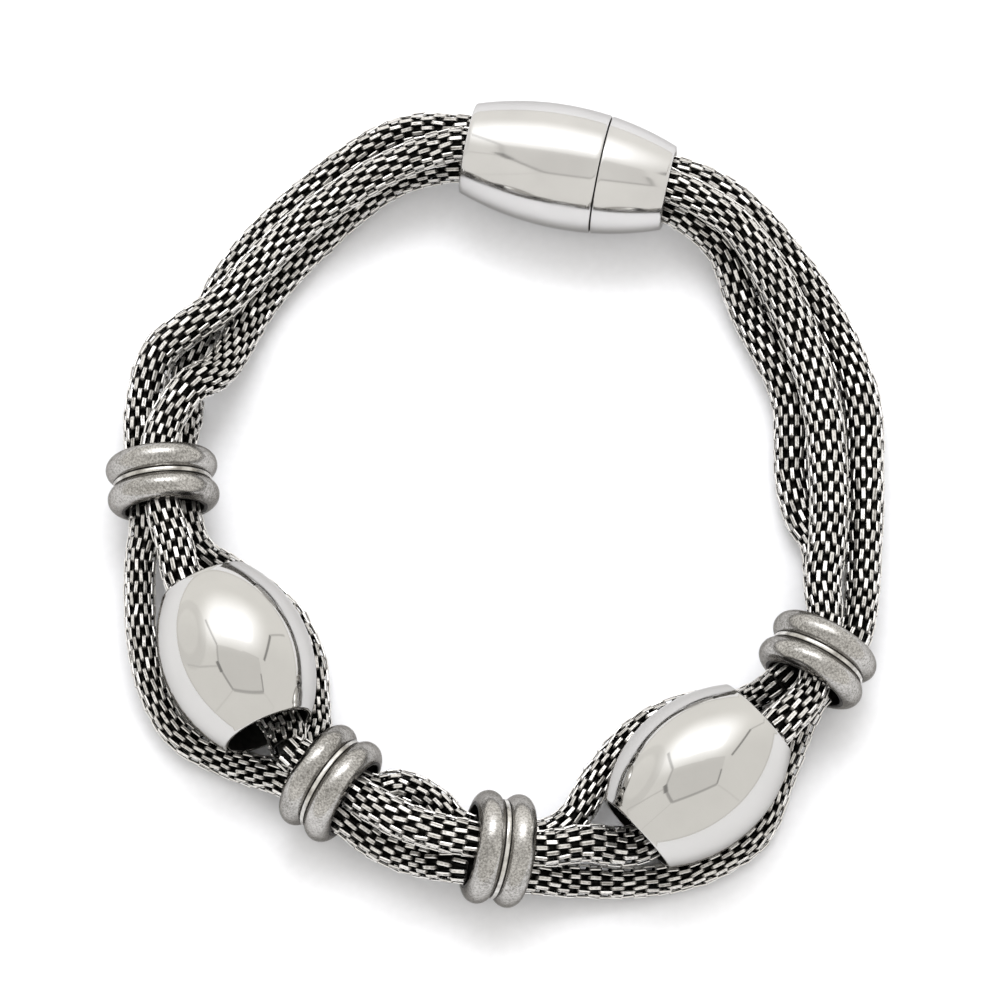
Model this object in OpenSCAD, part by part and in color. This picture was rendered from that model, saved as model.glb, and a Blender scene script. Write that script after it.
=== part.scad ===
// Twisted bead bracelet: three tubes of metal mesh twist round each other from
// one half of a barrel clasp to the other. On the way they go through four
// double-ring spacers, and two barrel beads each carry the middle strand while
// the other two pass outside. The loop lies closed on a table: X to the right,
// Y away from the wearer's side of the photo, Z up, in millimetres.

/* [Strands] */
// Number of sides of each mesh tube in this solid
strand_sides = 8; // [8:2:12]
// Radius of a strand inside a spacer
strand_radius_in_spacer = 1.68; // [1.4:0.01:1.7]
// Radius of a strand in the clasp's socket
strand_radius_in_clasp = 1.6; // [1.3:0.05:1.6]
// Radius of the middle strand inside a bead
strand_radius_in_bead = 1.85; // [1.5:0.05:2.2]

/* [Barrel beads] */
// Length of a bead along its bore
bead_length = 15.2; // [12:0.1:18]
// Diameter of a bead at its middle
bead_diameter = 13.7; // [11:0.1:15]
// Diameter of a bead at its ends
bead_end_diameter = 8.5; // [8.3:0.1:10]
// Diameter of the bore through a bead
bead_bore = 7.7; // [6:0.1:8]

/* [Double-ring spacers] */
// Radius of the round section of each ring
ring_section = 1.25; // [0.8:0.05:1.4]
// Distance between the two rings, centre to centre
ring_pitch = 2.8; // [2:0.1:3.2]
// Outer diameter of the two rings
ring_diameter = 10.3; // [9.5:0.1:11]
// Outer diameter of the flat collar between the rings
collar_diameter = 8.8; // [8.2:0.1:9.6]
// Diameter of the hole through a spacer
spacer_bore = 7.5; // [7.4:0.1:8]

/* [Barrel clasp] */
// Length of the whole clasp, closed
clasp_length = 19.2; // [16:0.1:22]
// Length of the longer half
long_half_length = 12.7; // [9:0.1:14]
// Diameter of the clasp where it is widest
clasp_diameter = 11.6; // [10:0.1:13]
// Radius of the long curve of the clasp's side
clasp_side_radius = 28; // [20:1:40]
// Distance from the longer half's end to the widest place
clasp_widest_at = 9.2; // [8:0.1:11]
// Diameter of the socket that holds the three strand ends
socket_diameter = 7.1; // [6.8:0.1:7.4]
// Depth of each socket
socket_depth = 3; // [2:0.1:5]
// Gap between the two halves where they meet
seam_gap = 0.1; // [0.05:0.05:0.2]

/* [Hidden] */
$fn = 96;

// columns of a placement: centre x, y, z, heading of the axis, tilt of the axis
heading = 3;
tilt = 4;
clasp_place = [6.6, 32.65, 5.8, 167.7, 0];
bead_place = [
    [-23.7, -16, 7.1, -67, 0],
    [18, -27.3, 7.1, 43, 7],
];
spacer_place = [
    [-30.8, 1.55, 5.25, -85, -3.5],
    [-15.1, -27.4, 5.25, -35.3, 3],
    [0, -33.7, 5.65, -4.5, -13],
    [29.1, -15.6, 5.2, 61.6, 1],
];

function axis_of(p) = [cos(p[heading]) * cos(p[tilt]), sin(p[heading]) * cos(p[tilt]), sin(p[tilt])];
function side_of(p) = [-sin(p[heading]), cos(p[heading]), 0];
function lift_of(p) = cross(axis_of(p), side_of(p));
// a row of a route: a place given along and round a piece's axis, with a radius
function spot(p, along, turn, off, radius) = concat(
    [p.x, p.y, p.z] + along * axis_of(p) + off * (cos(turn) * side_of(p) + sin(turn) * lift_of(p)),
    [radius]);

// three touching strands sit on a triangle round a bore's axis, and may twist on their way through
spacer_off = strand_radius_in_spacer * 2 / sqrt(3) + 0.04;
twisted_radius = strand_radius_in_spacer - 0.08;
clasp_off = strand_radius_in_clasp * 2 / sqrt(3) + 0.05;
bead_off = 1.7;
spacer_reach = ring_pitch / 2 + ring_section + 0.7;
bead_reach = bead_length / 2 + 0.3;
half_clasp = clasp_length / 2;
strand_end = half_clasp - socket_depth + 0.2;

function in_spacer(i, turn) = [for (s = [-1, 1])
    spot(spacer_place[i], s * spacer_reach, turn, spacer_off, strand_radius_in_spacer)];
function twisted_in_spacer(i, turn, twist) = [for (s = [-1, 0, 1])
    spot(spacer_place[i], s * spacer_reach, turn + s * twist / 2, spacer_off, twisted_radius)];
function in_bead(i, turn_in, turn_out) = [
    spot(bead_place[i], -bead_reach, turn_in, bead_off, strand_radius_in_bead),
    spot(bead_place[i], bead_reach, turn_out, bead_off, strand_radius_in_bead)];
function from_long_half(turn) = [for (a = [strand_end, half_clasp + 0.4])
    spot(clasp_place, a, turn, clasp_off, strand_radius_in_clasp)];
function to_short_half(turn) = [for (a = [-half_clasp - 0.4, -strand_end])
    spot(clasp_place, a, turn, clasp_off, strand_radius_in_clasp)];

// columns of a route: x, y, z, radius of the strand there
tube = 3;
outer_route = concat(
    from_long_half(75),
    [[-9.5, 32.7, 6.6, 1.6], [-18.1, 27.3, 5.35, 1.65], [-25.9, 18.9, 5.55, 1.7],
     [-31.3, 14.7, 4.6, 1.75], [-32.75, 9.7, 3.95, 1.75]],
    in_spacer(0, 210),
    [[-32.75, -5.6, 3.6, 1.5], [-32.6, -12.3, 3.1, 1.45], [-31.4, -17.7, 2.7, 1.45],
     [-28.85, -21.85, 1.95, 1.45], [-24.3, -24.3, 1.6, 1.5]],
    in_spacer(1, 210),
    [[-10.9, -32.4, 3.6, 1.7], [-7.3, -33.9, 3.6, 1.75]],
    in_spacer(2, 210),
    [[7, -35.7, 2.4, 1.6], [13.4, -35.5, 1.6, 1.45], [18.9, -34.2, 1.45, 1.4],
     [23.4, -31.1, 1.45, 1.4], [25.9, -25.1, 1.6, 1.45]],
    twisted_in_spacer(3, 210, -60),
    [[33.25, -9.4, 4.2, 1.65], [33.6, -4, 3.3, 1.75], [33.9, 2.6, 3, 1.8], [33.5, 11.2, 2.85, 1.85],
     [29.7, 20.5, 2.75, 1.8], [23.6, 28.6, 4.25, 1.65], [19.8, 31.3, 4.9, 1.6]],
    to_short_half(195));
middle_route = concat(
    from_long_half(315),
    [[-9.9, 32.6, 2.5, 1.6], [-17.5, 26.4, 1.75, 1.65], [-22.5, 19.9, 2.25, 1.7],
     [-24.7, 14.9, 4, 1.75], [-26.2, 12.2, 5.6, 1.75], [-28.5, 9.9, 7.6, 1.7]],
    in_spacer(0, 90),
    [[-29.5, -5.1, 6.9, 1.75]],
    in_bead(0, 175, 330),
    [[-18.9, -24.9, 7.15, 1.7]],
    in_spacer(1, 90),
    [[-8.1, -32.1, 8.5, 1.75]],
    in_spacer(2, 90),
    [[7.9, -33.3, 6.1, 1.75]],
    in_bead(1, 255, 190),
    twisted_in_spacer(3, 90, -60),
    [[29.6, -9, 6.4, 1.75], [30.3, -3, 5.5, 1.8], [30.4, 3, 5, 1.85], [29.7, 10.4, 4.8, 1.85],
     [26.6, 19.7, 5.15, 1.8], [22, 26.7, 6.75, 1.65]],
    to_short_half(75));
inner_route = concat(
    from_long_half(195),
    [[-9.4, 36.8, 3.95, 1.6], [-18.4, 30.8, 2.55, 1.65], [-25.1, 23.1, 1.8, 1.7],
     [-28, 16.6, 1.7, 1.65], [-29.3, 12.9, 1.75, 1.65], [-28.95, 9.9, 2.3, 1.7]],
    in_spacer(0, 330),
    [[-27.4, -4.6, 3.5, 1.6], [-23.5, -6.8, 2.3, 1.5], [-19.35, -10, 1.65, 1.45],
     [-17.1, -14.3, 1.45, 1.4], [-16.75, -19.1, 1.6, 1.5], [-16.6, -21.9, 2.9, 1.55]],
    in_spacer(1, 330),
    [[-9, -27.45, 3.9, 1.75], [-6.05, -28.9, 4.5, 1.7]],
    in_spacer(2, 330),
    [[6.2, -30.95, 3.85, 1.6], [9.5, -25.6, 3.1, 1.5], [13.15, -21.3, 2.5, 1.45],
     [17.9, -19.05, 2.1, 1.45], [22.3, -18.9, 2.5, 1.5]],
    twisted_in_spacer(3, 330, -60),
    [[29.75, -7.4, 1.95, 1.65], [29.4, -3.2, 1.75, 1.65], [28, -0.6, 1.75, 1.65], [27.3, 3.2, 1.75, 1.7],
     [27.1, 11.1, 1.9, 1.8], [25.45, 15.5, 1.95, 1.85],
     [23.35, 19.8, 1.9, 1.8], [20.8, 25.8, 3.3, 1.65]],
    to_short_half(315));

// where a bead's curved side has the centre of its arc
bead_rise = (bead_diameter - bead_end_diameter) / 2;
bead_side_radius = (pow(bead_length / 2, 2) + pow(bead_rise, 2)) / (2 * bead_rise);
ring_centre = ring_diameter / 2 - ring_section;
spacer_length = ring_pitch + 2 * ring_section;

function place_of(row) = [row.x, row.y, row.z];
function unit(v) = v / norm(v);
// direction of a route at a ring, halfway between the pieces before and after it
function run_at(route, i) = let(
    here = place_of(route[i]),
    ahead = i < len(route) - 1 ? unit(place_of(route[i + 1]) - here) : [0, 0, 0],
    behind = i > 0 ? unit(here - place_of(route[i - 1])) : [0, 0, 0])
    unit(ahead + behind);
function ring_at(route, i) = let(
    run = run_at(route, i),
    across = unit(cross([0, 0, 1], run)),
    over = cross(run, across))
    [for (k = [0:strand_sides - 1]) place_of(route[i]) + route[i][tube]
        * (cos(k * 360 / strand_sides) * across + sin(k * 360 / strand_sides) * over)];

module sweep(route) {
    n = strand_sides;
    last = len(route) - 1;
    points = [for (i = [0:last]) each ring_at(route, i)];
    walls = [for (i = [0:last - 1], k = [0:n - 1]) let(
        a = i * n + k, b = a + n, c = (i + 1) * n + (k + 1) % n, d = i * n + (k + 1) % n)
        each [[a, b, c], [a, c, d]]];
    start = [[for (k = [0:n - 1]) k]];
    end = [[for (k = [0:n - 1]) last * n + n - 1 - k]];
    polyhedron(points = points, faces = concat(walls, start, end));
}

// puts a piece turned round Z on its place, with its axis along the heading
module put(p) {
    translate([p.x, p.y, p.z]) rotate([0, 0, p[heading]]) rotate([0, 90 - p[tilt], 0]) children();
}

module bead_at(p) {
    put(p) rotate_extrude() intersection() {
        translate([bead_diameter / 2 - bead_side_radius, 0]) circle(r = bead_side_radius);
        translate([bead_bore / 2, -bead_length / 2]) square([bead_diameter, bead_length]);
    }
}

module spacer_at(p) {
    put(p) rotate_extrude() intersection() {
        union() {
            for (s = [-1, 1]) translate([ring_centre, s * ring_pitch / 2]) circle(r = ring_section);
            translate([spacer_bore / 2, -ring_pitch / 2])
                square([(collar_diameter - spacer_bore) / 2, ring_pitch]);
            for (s = [-1, 1]) translate([spacer_bore / 2, s * ring_pitch / 2 - ring_section])
                square([ring_centre - spacer_bore / 2, 2 * ring_section]);
        }
        translate([spacer_bore / 2, -spacer_length / 2]) square([ring_diameter, spacer_length]);
    }
}

// the clasp's outline from one place to another, measured from the longer half's end
module clasp_barrel(from, to) {
    rotate_extrude() intersection() {
        translate([clasp_diameter / 2 - clasp_side_radius, half_clasp - clasp_widest_at])
            circle(r = clasp_side_radius, $fn = 360);
        translate([0, half_clasp - to]) square([clasp_diameter, to - from]);
    }
}

module strand_outer() { color([0.62, 0.62, 0.6]) sweep(outer_route); }
module strand_middle() { color([0.66, 0.66, 0.64]) sweep(middle_route); }
module strand_inner() { color([0.58, 0.58, 0.56]) sweep(inner_route); }
module bead_1() { color([0.86, 0.86, 0.85]) bead_at(bead_place[0]); }
module bead_2() { color([0.86, 0.86, 0.85]) bead_at(bead_place[1]); }
module spacer_1() { color([0.7, 0.69, 0.67]) spacer_at(spacer_place[0]); }
module spacer_2() { color([0.7, 0.69, 0.67]) spacer_at(spacer_place[1]); }
module spacer_3() { color([0.7, 0.69, 0.67]) spacer_at(spacer_place[2]); }
module spacer_4() { color([0.7, 0.69, 0.67]) spacer_at(spacer_place[3]); }
module clasp_long_half() {
    color([0.82, 0.82, 0.8]) put(clasp_place) difference() {
        clasp_barrel(0, long_half_length);
        translate([0, 0, half_clasp - socket_depth]) cylinder(d = socket_diameter, h = socket_depth + 1);
    }
}
module clasp_short_half() {
    color([0.84, 0.84, 0.82]) put(clasp_place) difference() {
        clasp_barrel(long_half_length + seam_gap, clasp_length);
        translate([0, 0, -half_clasp - 1]) cylinder(d = socket_diameter, h = socket_depth + 1);
    }
}

strand_outer();
strand_middle();
strand_inner();
bead_1();
bead_2();
spacer_1();
spacer_2();
spacer_3();
spacer_4();
clasp_long_half();
clasp_short_half();
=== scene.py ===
# %% [markdown]
# A twisted bead bracelet, lying closed on white paper.
#
# The real one is three tubes of metal mesh that twist round each other. All three run
# through four double-ring spacers, and the middle one also through two big polished
# barrel beads. A barrel clasp with magnets inside holds both ends. The solids come from
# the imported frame. This script dresses them: every tube gets its woven links, and
# beads, spacers and clasp get fine lips, seams and finishes.

# %% Load the frame
import math
import bpy
import numpy as np
from mathutils import Matrix, Vector


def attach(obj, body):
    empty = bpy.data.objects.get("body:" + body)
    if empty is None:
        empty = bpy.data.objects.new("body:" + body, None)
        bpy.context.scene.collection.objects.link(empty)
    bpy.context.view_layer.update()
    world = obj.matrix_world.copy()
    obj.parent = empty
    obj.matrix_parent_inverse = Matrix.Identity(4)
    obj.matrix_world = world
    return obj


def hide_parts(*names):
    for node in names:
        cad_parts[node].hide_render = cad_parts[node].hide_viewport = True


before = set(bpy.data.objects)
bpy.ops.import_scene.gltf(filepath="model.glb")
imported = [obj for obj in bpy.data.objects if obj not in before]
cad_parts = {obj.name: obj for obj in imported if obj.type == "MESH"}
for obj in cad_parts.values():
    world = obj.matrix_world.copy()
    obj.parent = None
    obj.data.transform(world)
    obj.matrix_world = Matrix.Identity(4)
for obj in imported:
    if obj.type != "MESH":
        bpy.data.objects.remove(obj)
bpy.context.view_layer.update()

print("solids in the frame:", ", ".join(sorted(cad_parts)))

# %% [markdown]
# The finer pieces have to be made exactly where the solids are. Their places could be
# searched for in the solids' meshes, but the source of the solids gives them as a few
# numbers, which are repeated here: the middle of each hard piece, the heading of its
# axis, and how much that axis tilts up. Everything is worked out in millimetres and
# degrees, as a jeweller would give it, and turned to metres where a mesh is made.

# %% Where the hard pieces lie
MM = 0.001
CLASP = (6.6, 32.65, 5.8, 167.7, 0)
BEADS = ((-23.7, -16, 7.1, -67, 0), (18, -27.3, 7.1, 43, 7))
SPACERS = ((-30.8, 1.55, 5.25, -85, -3.5), (-15.1, -27.4, 5.25, -35.3, 3),
           (0, -33.7, 5.65, -4.5, -13), (29.1, -15.6, 5.2, 61.6, 1))


def axes_of(place):
    """The axis of a piece, its side direction towards the loop's inside, and its lift."""
    heading, tilt = math.radians(place[3]), math.radians(place[4])
    side = np.array((-math.sin(heading), math.cos(heading), 0.0))
    axis = np.array((math.cos(heading) * math.cos(tilt), math.sin(heading) * math.cos(tilt),
                     math.sin(tilt)))
    return axis, side, np.cross(axis, side)


def spot(place, along, turn, off, radius):
    """A row of a route, given along and round a piece's axis."""
    axis, side, lift = axes_of(place)
    angle = math.radians(turn)
    outwards = math.cos(angle) * side + math.sin(angle) * lift
    return (*(np.array(place[:3]) + along * axis + off * outwards), radius)


print("clasp, beads and spacers placed:", 1 + len(BEADS) + len(SPACERS))

# %% [markdown]
# Beads, spacers and clasp are turned pieces, so a few lengths and diameters say all
# about them. They were read from the photograph at 0.092 mm a pixel.

# %% Sizes of the hard pieces
BEAD_LENGTH, BEAD_DIAMETER, BEAD_END, BEAD_BORE = 15.2, 13.7, 8.5, 7.7
RING_SECTION, RING_PITCH, RING_DIAMETER = 1.25, 2.8, 10.3
COLLAR_DIAMETER, SPACER_BORE = 8.8, 7.5
CLASP_LENGTH, LONG_HALF, CLASP_DIAMETER, CLASP_GAP = 19.2, 12.7, 11.6, 0.1
CLASP_SIDE, CLASP_WIDEST, SOCKET, SOCKET_DEPTH = 28.0, 9.2, 7.1, 3.0
HALF_CLASP = CLASP_LENGTH / 2
SPACER_LENGTH = RING_PITCH + 2 * RING_SECTION
print("a spacer is %.1f mm long, a bead %.1f mm" % (SPACER_LENGTH, BEAD_LENGTH))

# %% [markdown]
# Each strand is a soft tube that leans on its neighbours, and no simple rule gives its
# way. It could be simulated, but then it wouldn't match the solids. So the three follow
# the same points as the solids: x, y, z and the radius of the tube there. Inside a
# spacer or a socket the tubes touch, so they sit on a triangle round its axis. A bead's
# bore only holds the middle one.

# %% Helpers for the routes
STRAND_IN_SPACER, STRAND_IN_CLASP, STRAND_IN_BEAD, OFF_IN_BEAD = 1.68, 1.6, 1.85, 1.7
# the play between three tubes, what a twist squeezes them, and how far past a piece's end their rows lie
SPACER_PLAY, CLASP_PLAY, TWIST_SQUEEZE = 0.04, 0.05, 0.08
PAST_SPACER, PAST_BEAD, PAST_CLASP, FROM_SOCKET_FLOOR = 0.7, 0.3, 0.4, 0.2
# three tubes that touch lie this many radii off their middle
TRIANGLE = 2 / math.sqrt(3)
SPACER_OFF = STRAND_IN_SPACER * TRIANGLE + SPACER_PLAY
CLASP_OFF = STRAND_IN_CLASP * TRIANGLE + CLASP_PLAY
TWISTED_RADIUS = STRAND_IN_SPACER - TWIST_SQUEEZE
SPACER_REACH = SPACER_LENGTH / 2 + PAST_SPACER
BEAD_REACH = BEAD_LENGTH / 2 + PAST_BEAD
CLASP_REACH = HALF_CLASP + PAST_CLASP
STRAND_END = HALF_CLASP - SOCKET_DEPTH + FROM_SOCKET_FLOOR


def in_spacer(i, turn):
    return [spot(SPACERS[i], s * SPACER_REACH, turn, SPACER_OFF, STRAND_IN_SPACER) for s in (-1, 1)]


def twisted_in_spacer(i, turn, twist):
    return [spot(SPACERS[i], s * SPACER_REACH, turn + s * twist / 2, SPACER_OFF, TWISTED_RADIUS)
            for s in (-1, 0, 1)]


def in_bead(i, turn_in, turn_out):
    return [spot(BEADS[i], -BEAD_REACH, turn_in, OFF_IN_BEAD, STRAND_IN_BEAD),
            spot(BEADS[i], BEAD_REACH, turn_out, OFF_IN_BEAD, STRAND_IN_BEAD)]


def in_clasp(turn, places):
    return [spot(CLASP, along, turn, CLASP_OFF, STRAND_IN_CLASP) for along in places]


def from_long_half(turn):
    return in_clasp(turn, (STRAND_END, CLASP_REACH))


def to_short_half(turn):
    return in_clasp(turn, (-CLASP_REACH, -STRAND_END))


print("strands sit %.2f mm off a spacer's axis" % SPACER_OFF)

# %% The strands' routes
ROUTES = {
    "outer": [
        *from_long_half(75),
        (-9.5, 32.7, 6.6, 1.6), (-18.1, 27.3, 5.35, 1.65), (-25.9, 18.9, 5.55, 1.7),
        (-31.3, 14.7, 4.6, 1.75), (-32.75, 9.7, 3.95, 1.75),
        *in_spacer(0, 210),
        (-32.75, -5.6, 3.6, 1.5), (-32.6, -12.3, 3.1, 1.45), (-31.4, -17.7, 2.7, 1.45),
        (-28.85, -21.85, 1.95, 1.45), (-24.3, -24.3, 1.6, 1.5),
        *in_spacer(1, 210),
        (-10.9, -32.4, 3.6, 1.7), (-7.3, -33.9, 3.6, 1.75),
        *in_spacer(2, 210),
        (7, -35.7, 2.4, 1.6), (13.4, -35.5, 1.6, 1.45), (18.9, -34.2, 1.45, 1.4),
        (23.4, -31.1, 1.45, 1.4), (25.9, -25.1, 1.6, 1.45),
        *twisted_in_spacer(3, 210, -60),
        (33.25, -9.4, 4.2, 1.65), (33.6, -4, 3.3, 1.75), (33.9, 2.6, 3, 1.8), (33.5, 11.2, 2.85, 1.85),
        (29.7, 20.5, 2.75, 1.8), (23.6, 28.6, 4.25, 1.65), (19.8, 31.3, 4.9, 1.6),
        *to_short_half(195)],
    "middle": [
        *from_long_half(315),
        (-9.9, 32.6, 2.5, 1.6), (-17.5, 26.4, 1.75, 1.65), (-22.5, 19.9, 2.25, 1.7),
        (-24.7, 14.9, 4, 1.75), (-26.2, 12.2, 5.6, 1.75), (-28.5, 9.9, 7.6, 1.7),
        *in_spacer(0, 90),
        (-29.5, -5.1, 6.9, 1.75),
        *in_bead(0, 175, 330),
        (-18.9, -24.9, 7.15, 1.7),
        *in_spacer(1, 90),
        (-8.1, -32.1, 8.5, 1.75),
        *in_spacer(2, 90),
        (7.9, -33.3, 6.1, 1.75),
        *in_bead(1, 255, 190),
        *twisted_in_spacer(3, 90, -60),
        (29.6, -9, 6.4, 1.75), (30.3, -3, 5.5, 1.8), (30.4, 3, 5, 1.85), (29.7, 10.4, 4.8, 1.85),
        (26.6, 19.7, 5.15, 1.8), (22, 26.7, 6.75, 1.65),
        *to_short_half(75)],
    "inner": [
        *from_long_half(195),
        (-9.4, 36.8, 3.95, 1.6), (-18.4, 30.8, 2.55, 1.65), (-25.1, 23.1, 1.8, 1.7),
        (-28, 16.6, 1.7, 1.65), (-29.3, 12.9, 1.75, 1.65), (-28.95, 9.9, 2.3, 1.7),
        *in_spacer(0, 330),
        (-27.4, -4.6, 3.5, 1.6), (-23.5, -6.8, 2.3, 1.5), (-19.35, -10, 1.65, 1.45),
        (-17.1, -14.3, 1.45, 1.4), (-16.75, -19.1, 1.6, 1.5), (-16.6, -21.9, 2.9, 1.55),
        *in_spacer(1, 330),
        (-9, -27.45, 3.9, 1.75), (-6.05, -28.9, 4.5, 1.7),
        *in_spacer(2, 330),
        (6.2, -30.95, 3.85, 1.6), (9.5, -25.6, 3.1, 1.5), (13.15, -21.3, 2.5, 1.45),
        (17.9, -19.05, 2.1, 1.45), (22.3, -18.9, 2.5, 1.5),
        *twisted_in_spacer(3, 330, -60),
        (29.75, -7.4, 1.95, 1.65), (29.4, -3.2, 1.75, 1.65), (28, -0.6, 1.75, 1.65), (27.3, 3.2, 1.75, 1.7),
        (27.1, 11.1, 1.9, 1.8), (25.45, 15.5, 1.95, 1.85),
        (23.35, 19.8, 1.9, 1.8), (20.8, 25.8, 3.3, 1.65),
        *to_short_half(315)],
}
print("rows in the routes:", {name: len(rows) for name, rows in ROUTES.items()})

# %% [markdown]
# A mesh tube bends smoothly. Blender's own curves could smooth it, but they swing wide
# between uneven points. So its centre line is a Catmull-Rom curve with centripetal
# spacing, which passes through its points and stays close to them. Along it goes a
# frame that never spins about the curve, because the rows of links in a real tube run
# straight along it.

# %% Smooth centre lines
STEP, POINTS_A_STRETCH = 0.1, 160


def smooth_line(rows):
    """Points every STEP on the smooth curve through the rows: an array of x, y, z, radius."""
    p = np.array(rows, float)
    p = np.vstack((2 * p[0] - p[1], p, 2 * p[-1] - p[-2]))
    t = np.concatenate(([0], np.cumsum(np.linalg.norm(np.diff(p[:, :3], axis=0), axis=1) ** 0.5)))
    dense = []
    for i in range(1, len(p) - 2):
        u = np.linspace(t[i], t[i + 1], POINTS_A_STRETCH, endpoint=False)[:, None]
        a1 = p[i - 1] + (p[i] - p[i - 1]) * (u - t[i - 1]) / (t[i] - t[i - 1])
        a2 = p[i] + (p[i + 1] - p[i]) * (u - t[i]) / (t[i + 1] - t[i])
        a3 = p[i + 1] + (p[i + 2] - p[i + 1]) * (u - t[i + 1]) / (t[i + 2] - t[i + 1])
        b1 = a1 + (a2 - a1) * (u - t[i - 1]) / (t[i + 1] - t[i - 1])
        b2 = a2 + (a3 - a2) * (u - t[i]) / (t[i + 2] - t[i])
        dense.append(b1 + (b2 - b1) * (u - t[i]) / (t[i + 1] - t[i]))
    dense = np.vstack(dense + [p[-2:-1]])
    run = np.concatenate(([0], np.cumsum(np.linalg.norm(np.diff(dense[:, :3], axis=0), axis=1))))
    even = np.linspace(0, run[-1], int(run[-1] / STEP) + 1)
    return np.stack([np.interp(even, run, dense[:, k]) for k in range(4)], axis=1)


def frames_of(line):
    """Tangent and two directions across it at every point, without any spin about the curve."""
    tangent = np.gradient(line[:, :3], axis=0)
    tangent /= np.linalg.norm(tangent, axis=1)[:, None]
    first = np.cross((0, 0, 1), tangent[0])
    across = [first / np.linalg.norm(first)]
    for i in range(1, len(line)):
        carried = across[-1] - np.dot(across[-1], tangent[i]) * tangent[i]
        across.append(carried / np.linalg.norm(carried))
    across = np.array(across)
    return tangent, across, np.cross(tangent, across)


LINES = {name: smooth_line(rows) for name, rows in ROUTES.items()}
for name, line in LINES.items():
    print("%s strand: %.0f mm long" % (name, STEP * (len(line) - 1)))

# %% [markdown]
# The camera stands where the photographer's did: above the table, 20 degrees off
# straight down. A wide lens close by could show the same frame, but the photograph has
# next to no perspective, so it is a long lens far away.

# %% Camera
AIM, DISTANCE, LOOK_DOWN = Vector((0.2, 0.3, 4.0)) * MM, 600 * MM, math.radians(70)
SENSOR, LENS, FAR = 36, 234.8, 10
scene = bpy.context.scene
camera_data = bpy.data.cameras.new("camera")
camera_data.sensor_width = SENSOR
camera_data.lens = LENS
camera_data.clip_end = FAR
camera = bpy.data.objects.new("camera", camera_data)
scene.collection.objects.link(camera)
camera.location = AIM + DISTANCE * Vector((0, -math.cos(LOOK_DOWN), math.sin(LOOK_DOWN)))
camera.rotation_euler = (math.pi / 2 - LOOK_DOWN, 0, 0)
scene.camera = camera
scene.view_settings.view_transform = "Standard"
scene.view_settings.look = "None"
print("camera at", [round(v, 3) for v in camera.location])

# %% [markdown]
# Materials and Geometry Nodes trees are both built of nodes. They could be clicked
# together by hand, but a script says how each was made. Colours are picked as they look
# on a screen (sRGB) and the shader wants linear light, so one function turns them.
# Another adds a node with its settings and its links in one line, and a node that is
# given as a link passes on its first output. A pattern's scale is written as how many
# of its spots lie on a millimetre, divided by MM.

# %% Helpers for nodes


def linear(colour):
    """An sRGB hex colour as linear red, green, blue and alpha. Light that is linear already stays."""
    if not isinstance(colour, str):
        return colour
    parts = [int(colour.lstrip("#")[k:k + 2], 16) / 255 for k in (0, 2, 4)]
    return (*[c / 12.92 if c <= 0.04045 else ((c + 0.055) / 1.055) ** 2.4 for c in parts], 1.0)


def feed(node, *values, **links):
    """Feeds a node's inputs, by their order or by name. Each gets a value, a node, a socket or a list."""
    for key, given in [*enumerate(values), *links.items()]:
        socket = node.inputs[key if isinstance(key, int) else key.replace("_", " ")]
        for source in given if isinstance(given, list) else [given]:
            if isinstance(source, bpy.types.Node):
                source = next(output for output in source.outputs if output.enabled)
            if isinstance(source, bpy.types.NodeSocket):
                node.id_data.links.new(source, socket)
            else:
                socket.default_value = source
    return node


def add(tree, kind, *values, settings=None, **links):
    """A node of that kind, which may name its operation too. A ramp's stops are one of its settings."""
    kind, *operation = kind.split()
    node = tree.nodes.new(kind)
    if operation:
        node.operation = operation[0]
    for key, value in (settings or {}).items():
        if key != "stops":
            setattr(node, key, value)
            continue
        while len(node.color_ramp.elements) < len(value):
            node.color_ramp.elements.new(0.5)
        for element, (position, colour) in zip(node.color_ramp.elements, value):
            element.position, element.color = position, linear(colour)
    return feed(node, *values, **links)


def new_material(name):
    """A material, its tree, its empty Principled shader, and the place of what is shaded."""
    material = bpy.data.materials.new(name)
    material.use_nodes = True
    tree = material.node_tree
    return material, tree, tree.nodes["Principled BSDF"], add(tree, "ShaderNodeTexCoord").outputs["Object"]


def mottled(name, spots, detail, stops, **finish):
    """A plain material whose colour wanders between the stops in soft spots, so many to a millimetre."""
    material, tree, shader, place = new_material(name)
    cloud = add(tree, "ShaderNodeTexNoise", Vector=place, Scale=spots / MM, Detail=detail)
    feed(shader, Base_Color=add(tree, "ShaderNodeValToRGB", cloud, settings={"stops": stops}), **finish)
    return material


print("helpers ready")

# %% [markdown]
# The mesh is stainless steel wire, pressed flat. After weaving it is blackened and the
# tube is tumbled, which polishes only what stands proud: the flat backs of the links.
# A pattern laid over the tube could draw that, but it would slide off the links. So
# colour and roughness follow numbers that each link carries: `polish` is 1 on its back
# and 0 deep inside, `across` is 0 along its middle and 1 or -1 at its sides, which are
# painted brighter as a highlight that the edges catch, and `shade` makes links differ.

# %% Blackened and polished link steel, with a painted highlight at the sides
SHADE_SHARE, SCRATCH_SHARE = 0.16, 0.5
link_steel, tree, shader, place = new_material("tumbled_stainless_link")
polish, shade, across = (add(tree, "ShaderNodeAttribute", settings={"attribute_name": name}).outputs["Fac"]
                         for name in ("polish", "shade", "across"))
from_middle = add(tree, "ShaderNodeMath ABSOLUTE", across)
# the sides of a link's back are painted brighter: a painted highlight for the light that its edges catch
rim_highlight = add(tree, "ShaderNodeMapRange", from_middle, From_Min=0.35, From_Max=0.75, To_Min=0.55, To_Max=0.85,
          settings={"interpolation_type": "SMOOTHSTEP"})
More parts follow.
